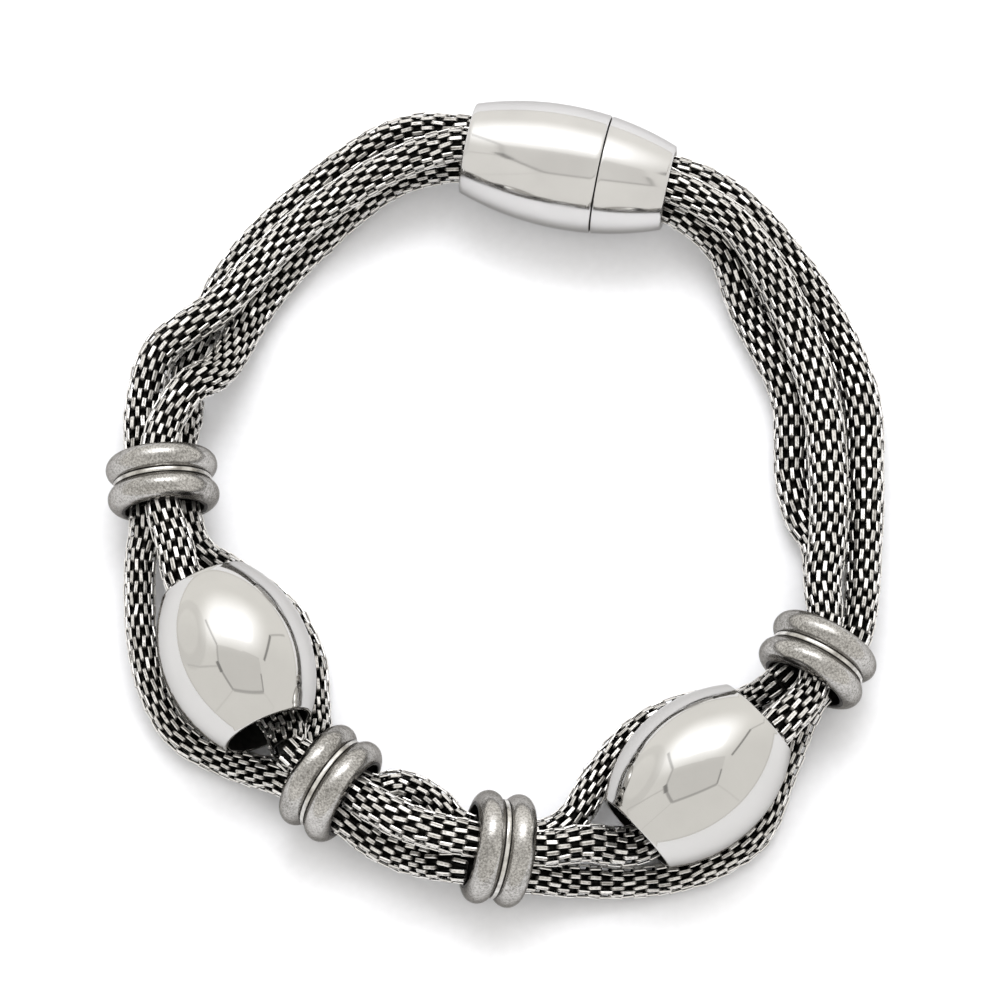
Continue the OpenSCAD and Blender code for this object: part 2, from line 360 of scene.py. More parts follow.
# tumbling scratches 0.1 mm apart are finer than the render can hold, so they are drawn 4 to a millimetre
scratch = add(tree, "ShaderNodeTexNoise", Vector=place, Scale=4 / MM, Detail=3.0)
# tumbling wear and the painted side highlight, plus each link's own shade and the scratches
wear_and_highlight = add(tree, "ShaderNodeMath MULTIPLY", polish, rim_highlight)
wear_and_highlight = add(tree, "ShaderNodeMath MULTIPLY_ADD", shade, SHADE_SHARE, wear_and_highlight)
wear_and_highlight = add(tree, "ShaderNodeMath MULTIPLY_ADD", scratch, SCRATCH_SHARE, wear_and_highlight)
wear_and_highlight = add(tree, "ShaderNodeMath SUBTRACT", wear_and_highlight, SCRATCH_SHARE / 2)
steel = add(tree, "ShaderNodeValToRGB", wear_and_highlight, settings={"stops": (
    (0.1, "#0A0A09"), (0.32, "#2B2A28"), (0.56, "#8E8B87"), (0.78, "#E3E1DE"))})
rough = add(tree, "ShaderNodeMapRange", wear_and_highlight, From_Min=0.2, From_Max=0.9, To_Min=0.55, To_Max=0.36)
bump = add(tree, "ShaderNodeBump", Strength=0.25, Distance=0.02 * MM, Height=scratch)
feed(shader, Base_Color=steel, Metallic=1.0, Roughness=rough, Normal=bump)
print("link steel:", link_steel.name)

# %% Black core of the tubes
# blackened wire, painted nearly black also as the shade inside the packed tube, with a dull shine where it
# was rubbed
core_black_and_shade = mottled("blackened_wire_and_painted_shade", 2.5, 4.0, ((0.35, "#060605"), (0.7, "#262523")),
                     Metallic=0.8, Roughness=0.55)
print("core:", core_black_and_shade.name)

# %% [markdown]
# A link is a closed oblong loop of flat wire that stands on edge in the tube: its back
# shows outside, its lower bar is hidden inside. Rows of them lie like bricks, each row
# half a link ahead of the next. Copying one loop 5000 times by hand would be hopeless,
# and a copy for every place is what Geometry Nodes are for: one tree builds the loop
# from named sizes and sets it on points that carry its turn. The points are worked out
# here, because only the curve knows which way is out.

# %% Sizes of the weave
COLUMNS, LINK_PITCH, FIRST_LINK = 20, 2.08, 0.6
LINK_LENGTH, LINK_DEPTH, LINK_WIDTH, BAND, CORNER, EDGE = 1.5, 0.7, 0.36, 0.16, 0.2, 0.05
# a link's ends are this much of its width, and the black core lies this deep below the skin
NARROW_END, CORE_DEPTH, HOOP_WIRE = 0.6, 0.78, 0.1
# a link stretches and widens with its tube, within limits, and has a little play
USUAL_RADIUS, STRETCH, SPREAD = 1.65, (0.8, 1.12), (0.88, 1.12)
LEAN, PLAY = 0.06, 0.02
# which way a link points is read this many steps before and after it
LEAD = 6
# how far inside a mouth links still show, and how near to a piece's axis or to the clasp a strand has to be
SEEN_IN_SPACER, SEEN_IN_BEAD, SEEN_IN_CLASP, OFF_AXIS, NEAR_CLASP = 0.5, 3.5, 1.0, 5, 14
chance = np.random.default_rng(7)
print("a tube has", COLUMNS, "columns of links")

# %% Places of the links


def covered(points):
    """True where a point is well inside a spacer, a bead or the clasp, so that no link shows."""
    hide = np.zeros(len(points), bool)
    shells = [(place, SPACER_LENGTH / 2 - SEEN_IN_SPACER) for place in SPACERS]
    shells += [(place, BEAD_LENGTH / 2 - SEEN_IN_BEAD) for place in BEADS]
    for place, reach in shells:
        axis = axes_of(place)[0]
        away = points - np.array(place[:3])
        along = away @ axis
        off = np.linalg.norm(away - along[:, None] * axis, axis=1)
        hide |= (abs(along) < reach) & (off < OFF_AXIS)
    away = points - np.array(CLASP[:3])
    along = away @ axes_of(CLASP)[0]
    near = np.linalg.norm(away, axis=1) < NEAR_CLASP
    return hide | (near & (abs(along) < HALF_CLASP - SEEN_IN_CLASP))


def unit_rows(rows):
    return rows / np.linalg.norm(rows, axis=1)[:, None]


def square_to(rows, others):
    """Rows made square to other rows, and of length 1."""
    return unit_rows(rows - np.sum(rows * others, axis=1)[:, None] * others)


def quaternions(x, y, z):
    """Turns as quaternions, from arrays of the three axes."""
    turns = [Matrix(rows).transposed().to_quaternion() for rows in zip(x, y, z)]
    return np.array([(q.w, q.x, q.y, q.z) for q in turns])


def link_places(line):
    """Places, turns, sizes and shades of all links that show on a strand."""
    across, over = frames_of(line)[1:]
    length = STEP * (len(line) - 1)
    spots, xs, zs, sizes = [], [], [], []
    for column in range(COLUMNS):
        run = np.arange(FIRST_LINK + (column % 2) * LINK_PITCH / 2, length - FIRST_LINK, LINK_PITCH)
        at = (run / STEP).astype(int)
        at = at[~covered(line[at, :3])]
        angle = 2 * math.pi * column / COLUMNS
        out = math.cos(angle) * across + math.sin(angle) * over
        skin = line[:, :3] + line[:, 3:] * out
        lead = skin[np.minimum(at + LEAD, len(skin) - 1)] - skin[np.maximum(at - LEAD, 0)]
        stretch = np.linalg.norm(lead, axis=1) / (2 * LEAD * STEP)
        lead = unit_rows(lead)
        spots.append(skin[at])
        xs.append(lead)
        zs.append(square_to(out[at], lead))
        sizes.append(np.stack((np.clip(stretch, *STRETCH), np.clip(line[at, 3] / USUAL_RADIUS, *SPREAD),
                               np.ones(len(at))), axis=1))
    spots, xs, zs, sizes = map(np.vstack, (spots, xs, zs, sizes))
    ys = np.cross(zs, xs)
    lean = chance.normal(0, LEAN, (len(xs), 3))
    xs = unit_rows(xs + lean[:, :1] * ys + lean[:, 1:2] * zs)
    zs = square_to(zs + lean[:, 2:] * ys, xs)
    spots += chance.normal(0, PLAY, (len(xs), 1)) * zs
    return spots, quaternions(xs, np.cross(zs, xs), zs), sizes, chance.random(len(spots))


PLACES = {name: link_places(line) for name, line in LINES.items()}
print("links that show:", {name: len(places[0]) for name, places in PLACES.items()})

# %% [markdown]
# The loop itself is drawn as a maker would bend it: an oblong path with cut corners,
# and along it the wire's section, a hexagon pressed flat, with a broad back and sides
# that meet in a ridge. A rounder wire would need many more faces, and each loop may
# only have a few dozen. Then the ends are narrowed, as if rounded, and every corner is
# told how much tumbling it gets and how far to the side it lies, which sets its painted
# highlight.

# %% A new tree with named inputs


def new_tree(name, source, sizes, result):
    """A Geometry Nodes tree with its inputs: what it works on, its sizes, and its finish."""
    tree = bpy.data.node_groups.new(name, "GeometryNodeTree")
    tree.is_modifier = True
    tree.interface.new_socket(source, in_out="INPUT", socket_type="NodeSocketGeometry")
    for size, value in sizes.items():
        tree.interface.new_socket(size, in_out="INPUT", socket_type="NodeSocketFloat").default_value = value
    tree.interface.new_socket("Finish", in_out="INPUT", socket_type="NodeSocketMaterial")
    tree.interface.new_socket(result, in_out="OUTPUT", socket_type="NodeSocketGeometry")
    return tree, add(tree, "NodeGroupInput").outputs


weave, given = new_tree("woven_links", "Places", {
    "Link length": LINK_LENGTH * MM, "Link depth": LINK_DEPTH * MM, "Link width": LINK_WIDTH * MM,
    "Band thickness": BAND * MM, "Corner": CORNER * MM, "Rubbed edge": EDGE * MM,
    "Narrowing": NARROW_END}, "Links")
here = add(weave, "ShaderNodeSeparateXYZ", add(weave, "GeometryNodeInputPosition")).outputs
half_length = add(weave, "ShaderNodeMath MULTIPLY", given["Link length"], 0.5)
half_width = add(weave, "ShaderNodeMath MULTIPLY", given["Link width"], 0.5)
print("weave tree with inputs:", [item.name for item in weave.interface.items_tree])

# %% The path and the wire of one loop
HEXAGON_HEIGHT = math.sin(math.pi / 3)
path = add(weave, "GeometryNodeCurvePrimitiveQuadrilateral",
           Width=add(weave, "ShaderNodeMath SUBTRACT", given["Link length"], given["Band thickness"]),
           Height=add(weave, "ShaderNodeMath SUBTRACT", given["Link depth"], given["Band thickness"]))
path = add(weave, "GeometryNodeFilletCurve", Curve=path, Count=1, Radius=given["Corner"],
           settings={"mode": "POLY"})
wire = add(weave, "GeometryNodeCurvePrimitiveCircle", Resolution=6, Radius=1.0)
from_ridge = add(weave, "ShaderNodeMath SUBTRACT", 1.0, add(weave, "ShaderNodeMath ABSOLUTE", here["X"]))
inset = add(weave, "ShaderNodeMath MULTIPLY", from_ridge,
            add(weave, "ShaderNodeMath MULTIPLY", given["Rubbed edge"], 2.0))
sideways = add(weave, "ShaderNodeMath MULTIPLY", add(weave, "ShaderNodeMath SIGN", here["X"]),
               add(weave, "ShaderNodeMath SUBTRACT", half_width, inset))
thick = add(weave, "ShaderNodeMath MULTIPLY", given["Band thickness"], 0.5 / HEXAGON_HEIGHT)
pressed = add(weave, "ShaderNodeCombineXYZ", Y=sideways,
              X=add(weave, "ShaderNodeMath MULTIPLY", here["Y"], thick))
wire = add(weave, "GeometryNodeSetPosition", Geometry=wire, Position=pressed)
link = add(weave, "GeometryNodeCurveToMesh", Curve=path, Profile_Curve=wire)
print("nodes so far:", len(weave.nodes))

# %% Set it upright, with its back at the top, and narrow its ends
drop = add(weave, "ShaderNodeMath MULTIPLY", given["Link depth"], -0.5)
drop = add(weave, "ShaderNodeCombineXYZ", Z=drop)
link = add(weave, "GeometryNodeTransform", Geometry=link, Translation=drop, Rotation=(math.pi / 2, 0, 0))
from_middle = add(weave, "ShaderNodeMath ABSOLUTE", here["X"])
from_end = add(weave, "ShaderNodeMath SUBTRACT", half_length, from_middle)
past_corner = add(weave, "ShaderNodeMath DIVIDE", from_end, given["Corner"], settings={"use_clamp": True})
at_end = add(weave, "ShaderNodeMath SUBTRACT", 1.0, past_corner)
most_loss = add(weave, "ShaderNodeMath SUBTRACT", 1.0, given["Narrowing"])
loss = add(weave, "ShaderNodeMath MULTIPLY", at_end, most_loss)
kept = add(weave, "ShaderNodeMath SUBTRACT", 1.0, loss)
rounded = add(weave, "ShaderNodeCombineXYZ", X=here["X"], Z=here["Z"],
              Y=add(weave, "ShaderNodeMath MULTIPLY", here["Y"], kept))
link = add(weave, "GeometryNodeSetPosition", Geometry=link, Position=rounded)
print("nodes so far:", len(weave.nodes))

# %% Mark where it is polished, and set one on every place
BLACK_BELOW, BRIGHT_ABOVE = -0.34 * MM, -0.1 * MM
polish = add(weave, "ShaderNodeMapRange", here["Z"], From_Min=BLACK_BELOW, From_Max=BRIGHT_ABOVE)
# how far to the side a corner lies, which the link steel turns into a painted highlight at the sides
across = add(weave, "ShaderNodeMath DIVIDE", here["Y"], half_width)
for name, value in {"polish": polish, "across": across}.items():
    link = add(weave, "GeometryNodeStoreNamedAttribute", Geometry=link, Name=name, Value=value,
               settings={"data_type": "FLOAT", "domain": "POINT"})
link = add(weave, "GeometryNodeSetShadeSmooth", Geometry=link, Shade_Smooth=False)
turn = add(weave, "GeometryNodeInputNamedAttribute", Name="turn", settings={"data_type": "QUATERNION"})
size = add(weave, "GeometryNodeInputNamedAttribute", Name="size", settings={"data_type": "FLOAT_VECTOR"})
links = add(weave, "GeometryNodeInstanceOnPoints", Points=given["Places"], Instance=link,
            Rotation=turn, Scale=size)
links = add(weave, "GeometryNodeRealizeInstances", Geometry=links)
links = add(weave, "GeometryNodeSetMaterial", Geometry=links, Material=given["Finish"])
add(weave, "NodeGroupOutput", links)
print("weave tree:", len(weave.nodes), "nodes")

# %% [markdown]
# A tree only works on an object, so each strand's points become a mesh of loose
# vertices with their turn, size and shade as attributes. The modifier could stay live,
# but the other tools want a plain mesh, so the result is copied out and it goes.

# %% From points to plain meshes


def points_object(name, places, edges=(), **attributes):
    """An object of loose points (in metres) with attributes, ready for a tree."""
    mesh = bpy.data.meshes.new(name)
    mesh.from_pydata([tuple(p * MM) for p in places], edges, [])
    for key, (kind, values) in attributes.items():
        field = "vector" if kind == "FLOAT_VECTOR" else "value"
        numbers = np.asarray(values, np.float32).ravel()
        mesh.attributes.new(key, kind, "POINT").data.foreach_set(field, numbers)
    thing = bpy.data.objects.new(name, mesh)
    scene.collection.objects.link(thing)
    return thing


def grow(thing, tree, finish):
    """Runs a tree on an object, and leaves its result as the object's plain mesh."""
    modifier = thing.modifiers.new("tree", "NODES")
    modifier.node_group = tree
    names = {item.name: item.identifier for item in tree.interface.items_tree if item.in_out == "INPUT"}
    modifier[names["Finish"]] = finish
    graph = bpy.context.evaluated_depsgraph_get()
    grown = thing.evaluated_get(graph)
    mesh = bpy.data.meshes.new_from_object(grown, preserve_all_data_layers=True, depsgraph=graph)
    thing.modifiers.clear()
    points, thing.data = thing.data, mesh
    mesh.name = thing.name
    bpy.data.meshes.remove(points)


def volume(thing):
    """The mesh's signed volume in mm3: positive where its faces point outwards."""
    mesh = thing.data
    mesh.calc_loop_triangles()
    corners = np.empty(len(mesh.vertices) * 3)
    mesh.vertices.foreach_get("co", corners)
    faces = np.empty(len(mesh.loop_triangles) * 3, np.int32)
    mesh.loop_triangles.foreach_get("vertices", faces)
    a, b, c = (corners.reshape(-1, 3) / MM)[faces.reshape(-1, 3)].transpose(1, 0, 2)
    return float(np.sum(a * np.cross(b, c)) / 6)


def hand_over(thing, solid):
    """Turns a piece's faces outwards, prints its size, hangs it on the root body, and hides the solid that
    it stands for.
    """
    if volume(thing) < 0:
        thing.data.flip_normals()
    triangles = sum(len(face.vertices) - 2 for face in thing.data.polygons)
    print("%s: %d triangles, %.0f mm3" % (thing.name, triangles, volume(thing)))
    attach(thing, "root")
    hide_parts(solid)


print("mesh helpers ready")

# %% The links of each strand
for name, (spots, turns, sizes, shades) in PLACES.items():
    links = points_object("strand_%s_links" % name, spots, turn=("QUATERNION", turns),
                          size=("FLOAT_VECTOR", sizes), shade=("FLOAT", shades))
    grow(links, weave, link_steel)
    hand_over(links, "strand_" + name)

# %% [markdown]
# Inside the loops run the hoops that hold them: plain round wires across the tube, two
# through every link. Behind them the tube is dark, because it is blackened and packed,
# so little light gets in. Real wires all the way through would be thousands more that
# nobody sees, so a second tree makes a black tube along the centre line, and a hoop on
# every point of it. Their near-black is the blackening and painted shade together.

# %% The tree that makes hoops and core
HOOP_RADIUS, HOOP_SIDES, HOOP_WIRE_SIDES, CORE_SIDES = 1.3, 16, 4, 12
hoops, given = new_tree("hoops_and_core", "Line", {
    "Hoop wire": HOOP_WIRE * MM, "Hoop depth": LINK_DEPTH / 2 * MM, "Core depth": CORE_DEPTH * MM}, "Core")
tube = add(hoops, "GeometryNodeInputNamedAttribute", Name="tube", settings={"data_type": "FLOAT"})
turn = add(hoops, "GeometryNodeInputNamedAttribute", Name="turn", settings={"data_type": "QUATERNION"})
line = add(hoops, "GeometryNodeMeshToCurve", Mesh=given["Line"])
core = add(hoops, "GeometryNodeCurveToMesh", Curve=line, Fill_Caps=True,
           Profile_Curve=add(hoops, "GeometryNodeCurvePrimitiveCircle", Resolution=CORE_SIDES, Radius=1.0),
           Scale=add(hoops, "ShaderNodeMath SUBTRACT", tube, given["Core depth"]))
ring = add(hoops, "GeometryNodeCurvePrimitiveCircle", Resolution=HOOP_SIDES, Radius=HOOP_RADIUS * MM)
wire = add(hoops, "GeometryNodeCurvePrimitiveCircle", Resolution=HOOP_WIRE_SIDES, Radius=given["Hoop wire"])
hoop = add(hoops, "GeometryNodeCurveToMesh", Curve=ring, Profile_Curve=wire)
fit = add(hoops, "ShaderNodeMath SUBTRACT", tube, given["Hoop depth"])
fit = add(hoops, "ShaderNodeMath DIVIDE", fit, HOOP_RADIUS * MM)
rings = add(hoops, "GeometryNodeInstanceOnPoints", Points=given["Line"], Instance=hoop,
            Rotation=turn, Scale=fit)
rings = add(hoops, "GeometryNodeRealizeInstances", Geometry=rings)
both = add(hoops, "GeometryNodeJoinGeometry", [core, rings])
both = add(hoops, "GeometryNodeSetShadeSmooth", Geometry=both, Shade_Smooth=True)
both = add(hoops, "GeometryNodeRealizeInstances", Geometry=both)
both = add(hoops, "GeometryNodeSetMaterial", Geometry=both, Material=given["Finish"])
add(hoops, "NodeGroupOutput", both)
print("hoop tree:", len(hoops.nodes), "nodes")

# %% Hoops and core of each strand
for name, line in LINES.items():
    tangent, across, over = frames_of(line)
    at = (np.arange(STEP, STEP * (len(line) - 1), LINK_PITCH / 2) / STEP).astype(int)
    core = points_object("strand_%s_core" % name, line[at, :3], [(i, i + 1) for i in range(len(at) - 1)],
                         turn=("QUATERNION", quaternions(across[at], over[at], tangent[at])),
                         tube=("FLOAT", line[at, 3] * MM))
    grow(core, hoops, core_black_and_shade)
    hand_over(core, "strand_" + name)

# %% [markdown]
# Beads, spacers and the clasp are turned on a lathe. Their solids could be bevelled
# instead, but a profile of (distance from the axis, distance along it) that goes once
# round the axis gives full control of every lip. Lips and seams get small rounds,
# because an edge that is really sharp never catches the light. A list of marks says
# which finish each stretch of the profile gets.

# %% A lathe
TURNS = 144


def lathe(name, place, profile, finishes, marks):
    """Turns a closed profile of (radius, along) round a piece's axis. Each stretch has a finish's mark."""
    axis, side, lift = axes_of(place)
    angles = np.arange(TURNS) * 2 * math.pi / TURNS
    spin = np.cos(angles)[:, None] * side + np.sin(angles)[:, None] * lift
    points = np.vstack([np.array(place[:3]) + along * axis + radius * spin for radius, along in profile])
    faces = []
    for i in range(len(profile)):
        row, after = i * TURNS, (i + 1) % len(profile) * TURNS
        for k in range(TURNS):
            following = (k + 1) % TURNS
            faces.append((row + k, row + following, after + following, after + k))
    mesh = bpy.data.meshes.new(name)
    mesh.from_pydata([tuple(p * MM) for p in points], [], faces)
    for material in finishes:
        mesh.materials.append(material)
    mesh.polygons.foreach_set("material_index", np.repeat(marks, TURNS))
    mesh.polygons.foreach_set("use_smooth", [True] * len(faces))
    thing = bpy.data.objects.new(name, mesh)
    scene.collection.objects.link(thing)
    return thing


def arc(middle, radius, start, end, count):
    """Points of a profile on an arc round a middle, angles in degrees from straight outwards."""
    angles = np.radians(np.linspace(start, end, count))
    return [(middle[0] + radius * math.cos(a), middle[1] + radius * math.sin(a)) for a in angles]


def mirrored(points):
    """The same points of a profile on its other side, in the order that goes on round it."""
    return [(radius, -along) for radius, along in reversed(points)]


print("lathe ready")

# %% [markdown]
# The barrel beads are polished stainless steel. Polished metal has no colour of its own
# to speak of, it shows the room, so its base is a light warm grey and its roughness
# nearly nothing. A perfect mirror would look drawn, so handling leaves soft wipes 4 mm
# wide that only widen the highlights. The bores are dull, and painted nearly black as
# the shade inside a hole.

# %% Mirror-polished steel, and the bore's painted shade
mirror_steel, tree, shader, place = new_material("mirror_polished_stainless")
wipe = add(tree, "ShaderNodeTexNoise", Vector=place, Scale=0.26 / MM, Detail=3.0, Roughness=0.6)
tone = add(tree, "ShaderNodeValToRGB", wipe, settings={"stops": ((0.3, "#BEBDBB"), (0.7, "#C2C1BF"))})
rough = add(tree, "ShaderNodeMapRange", wipe, From_Min=0.3, From_Max=0.7, To_Min=0.035, To_Max=0.07)
feed(shader, Base_Color=tone, Metallic=1.0, Roughness=rough, Specular_Tint=linear("#D8D7D6"))
# dull and nearly black, a painted shade for the inside of a hole, with tool marks 0.7 mm wide, so that the
# eye reads a deep hole
bore_painted_shade = mottled("drilled_stainless_painted_shade", 1.5, 4.0, ((0.3, "#0B0B0A"), (0.75, "#2A2826")),
                     Metallic=0.7, Roughness=0.5)
print("bead finishes:", mirror_steel.name, bore_painted_shade.name)

# %% The beads
MIRROR, SHADED_BORE = 0, 1
BEAD_LIP, BEAD_POINTS = 0.16, 49
# the lip: how far inside the bead's end or outside its bore a point is, and how far below the end face
OUTER_LIP, INNER_LIP, BORE_START = ((0.06, 0.04), (0.16, 0)), ((0.1, 0), (0.02, 0.05)), 0.2
face, bore_r = BEAD_LENGTH / 2, BEAD_BORE / 2
rise = (BEAD_DIAMETER - BEAD_END) / 2
side_radius = (face ** 2 + rise ** 2) / (2 * rise)
sweep = math.degrees(math.asin((face - BEAD_LIP) / side_radius))
outside = arc((BEAD_DIAMETER / 2 - side_radius, 0), side_radius, -sweep, sweep, BEAD_POINTS)
end_r = outside[-1][0]
lip = [(end_r - inwards, face - below) for inwards, below in OUTER_LIP]
lip += [(bore_r + outwards, face - below) for outwards, below in INNER_LIP]
bore = [(bore_r, face - BORE_START), (bore_r, BORE_START - face)]
profile = outside + lip + bore + mirrored(lip)
marks = [MIRROR] * (len(outside) + len(lip) - 1) + [SHADED_BORE] * 3 + [MIRROR] * len(lip)
for i, place in enumerate(BEADS, 1):
    bead = lathe("bead_%d_shell" % i, place, profile, (mirror_steel, bore_painted_shade), marks)
    hand_over(bead, "bead_%d" % i)

# %% [markdown]
# The spacers are cast and antiqued: darkened all over, then rubbed back to a satin grey
# that is not quite even. Dark is left in the groove beside the collar, partly antiquing
# and partly painted shade, and the mouths and bore are painted dark as shade. One even
# grey would look like plastic, so the colour follows a cast grain, 5 to a millimetre, on
# clouds 3 mm wide, and the grain is a bump too. The collar between the rings was
# polished after, so it is a thin bright line.

# %% Antiqued satin metal, the bright collar, and the groove's patina and painted shade
CLOUD_SHARE, GRAIN_SHARE = 0.4, 0.8
satin_grey, tree, shader, place = new_material("antiqued_satin_pewter")
cloud = add(tree, "ShaderNodeTexNoise", Vector=place, Scale=0.3 / MM, Detail=2.0, Roughness=0.5)
grain = add(tree, "ShaderNodeTexNoise", Vector=place, Scale=5.2 / MM, Detail=2.0, Roughness=0.6)
cloud = add(tree, "ShaderNodeMath MULTIPLY", cloud, CLOUD_SHARE)
patina = add(tree, "ShaderNodeMath MULTIPLY_ADD", grain, GRAIN_SHARE, cloud)
tone = add(tree, "ShaderNodeValToRGB", patina, settings={"stops": (
    (0.42, "#72706C"), (0.6, "#A19F9C"), (0.78, "#BDBBB8"))})
rough = add(tree, "ShaderNodeMapRange", patina, From_Min=0.45, From_Max=0.75, To_Min=0.27, To_Max=0.16)
bump = add(tree, "ShaderNodeBump", Strength=0.4, Distance=0.02 * MM, Height=grain)
feed(shader, Base_Color=tone, Metallic=1.0, Roughness=rough, Normal=bump, Specular_Tint=linear("#B6B4B2"))
# a shine that wanders in spots 1 mm wide looks rubbed by hand
collar_bright = mottled("rubbed_bright_pewter", 0.9, 3.0, ((0.35, "#8F8C87"), (0.65, "#D2D0CC")),
                        Metallic=1.0, Roughness=0.25)
# patchy at half a millimetre, it draws a soft dark line between ring and collar, partly antiquing and
# partly painted shade, and paints shade into the mouths and bore
groove_patina_and_shade = mottled("antiquing_and_painted_shade", 1.8, 3.0, ((0.35, "#1C1A19"), (0.7, "#4A4744")),
                      Metallic=0.8, Roughness=0.45)
print("spacer finishes:", satin_grey.name, collar_bright.name, groove_patina_and_shade.name)

# %% The spacers
SATIN, BRIGHT, DARK = 0, 1, 2
# a ring is round from the collar over its end and a little into the mouth, which is painted dark as shade
RING_POINTS, RING_DARK, ROUND_TO, BORE_EDGE = 33, 3, 103, 0.25
# the bright line: how far its points stand over the collar, and how far they are from its middle
BRIGHT_LINE, GROOVE_EDGE = ((0.01, 0.215), (0.1, 0.19), (0.12, 0.16)), 0.005
ring_r, half = RING_DIAMETER / 2 - RING_SECTION, RING_PITCH / 2
collar_r, bore_r = COLLAR_DIAMETER / 2, SPACER_BORE / 2
meet = math.acos((collar_r - ring_r) / RING_SECTION)
right = arc((ring_r, half), RING_SECTION, -math.degrees(meet), ROUND_TO, RING_POINTS)
left = mirrored(right)
bore = [(bore_r, right[-1][1] - BORE_EDGE), (bore_r, left[0][1] + BORE_EDGE)]
raised = [(collar_r, half - RING_SECTION * math.sin(meet) - GROOVE_EDGE)]
raised += [(collar_r + height, along) for height, along in BRIGHT_LINE]
profile = right + bore + left + mirrored(raised)[::-1] + raised[::-1]
ring_marks = [DARK] + [SATIN] * (RING_POINTS - 2 - RING_DARK) + [DARK] * RING_DARK
collar_marks = [DARK] * 3 + [BRIGHT] * 3 + [DARK] * 3
# the bore between the two mouths is painted dark as shade too
marks = ring_marks + [DARK] * 3 + ring_marks[::-1] + collar_marks
for i, place in enumerate(SPACERS, 1):
    spacer = lathe("spacer_%d_rings" % i, place, profile, (satin_grey, collar_bright, groove_patina_and_shade), marks)
    hand_over(spacer, "spacer_%d" % i)

# %% [markdown]
# The clasp is turned from stainless steel and buffed with a soft wheel, so it mirrors a
# little less sharply than the beads. Buffing lines run round the barrel, about 9 to a
# millimetre. Modelled as grooves they would be too fine to see, so they are a noise
# that is stretched round the barrel by a Mapping node and shows as a faint silk. Each
# half has a small bevel where they meet, and the hair-wide gap reads as a dark line.

# %% Buffed steel of the clasp
buffed_steel, tree, shader, place = new_material("buffed_stainless")
centred = add(tree, "ShaderNodeMapping", Vector=place, Location=(-CLASP[0] * MM, -CLASP[1] * MM, 0))
turned = add(tree, "ShaderNodeMapping", Vector=centred, Rotation=(0, 0, math.radians(-CLASP[3])),
             Scale=(1.0, 0.04, 0.04))
silk = add(tree, "ShaderNodeTexNoise", Vector=turned, Scale=9 / MM, Detail=2.0)
cloud = add(tree, "ShaderNodeTexNoise", Vector=place, Scale=0.18 / MM, Detail=3.0)
tone = add(tree, "ShaderNodeValToRGB", cloud, settings={"stops": ((0.3, "#C3C2C1"), (0.7, "#CBCAC9"))})
rough = add(tree, "ShaderNodeMapRange", silk, From_Min=0.3, From_Max=0.7, To_Min=0.08, To_Max=0.13)
bump = add(tree, "ShaderNodeBump", Strength=0.08, Distance=0.01 * MM, Height=silk)
feed(shader, Base_Color=tone, Metallic=1.0, Roughness=rough, Normal=bump, Specular_Tint=linear("#CFCECD"))
print("clasp finish:", buffed_steel.name)

# %% The two halves of the clasp
BUFFED, SIDE_POINTS, BEVEL, BEVEL_DROP = 0, 37, 0.12, 0.03
# a closed profile can't touch its axis, so each flat face keeps a hole too fine to see
AXIS_HOLE = 0.001
# the socket's mouth: how far a point is outside the socket's wall, and how far below the face
MOUTH, FLOOR_ROUND = ((0, 0.15), (0.08, 0.02), (0.16, 0)), 0.1


def barrel_r(from_end):
    """Radius of the clasp's outside at a distance from the longer half's end."""
    return CLASP_DIAMETER / 2 - CLASP_SIDE + math.sqrt(CLASP_SIDE ** 2 - (from_end - CLASP_WIDEST) ** 2)


def half_profile(mouth, seam):
    """Closed profile of the half between its mouth and its flat face at the seam, and its marks."""
    inwards = 1 if seam > mouth else -1
    ends = sorted((mouth, seam))
    rows = [(barrel_r(ends[0]) - BEVEL, ends[0]), (barrel_r(ends[0]) - BEVEL_DROP, ends[0] + BEVEL_DROP)]
    rows += [(barrel_r(s), s) for s in np.linspace(ends[0] + BEVEL, ends[1] - BEVEL, SIDE_POINTS)]
    rows += [(barrel_r(ends[1]) - BEVEL_DROP, ends[1] - BEVEL_DROP), (barrel_r(ends[1]) - BEVEL, ends[1])]
    wall, floor = SOCKET / 2, mouth + inwards * SOCKET_DEPTH
    socket = [(AXIS_HOLE, seam), (AXIS_HOLE, floor),
              (wall - FLOOR_ROUND, floor), (wall, floor - inwards * FLOOR_ROUND)]
    socket += [(wall + outwards, mouth + inwards * below) for outwards, below in MOUTH]
    # the socket's floor and wall get the bore's painted shade, and the rim of its mouth is buffed
    socket_marks = [SHADED_BORE] * (len(socket) - 2) + [BUFFED] * 2
    if inwards < 0:
        socket.reverse()
        socket_marks.reverse()
    return [(radius, HALF_CLASP - s) for radius, s in rows + socket], [BUFFED] * len(rows) + socket_marks


for name, ends in {"long": (0, LONG_HALF), "short": (CLASP_LENGTH, LONG_HALF + CLASP_GAP)}.items():
    profile, marks = half_profile(*ends)
    barrel = lathe("clasp_%s_barrel" % name, CLASP, profile, (buffed_steel, bore_painted_shade), marks)
    hand_over(barrel, "clasp_%s_half" % name)

# %% [markdown]
# The bracelet lies on white paper under a light tent. The paper is a plain floor.
# Polished metal shows what stands round it. The tent could be built of cloth and lamps,
# but a sky drawn with nodes is quieter and quicker: pale cloth walls, one big soft
# light high behind the bracelet, and thin dark seams where panels meet. The camera
# itself sees only pale cloth, so other views stay plain.

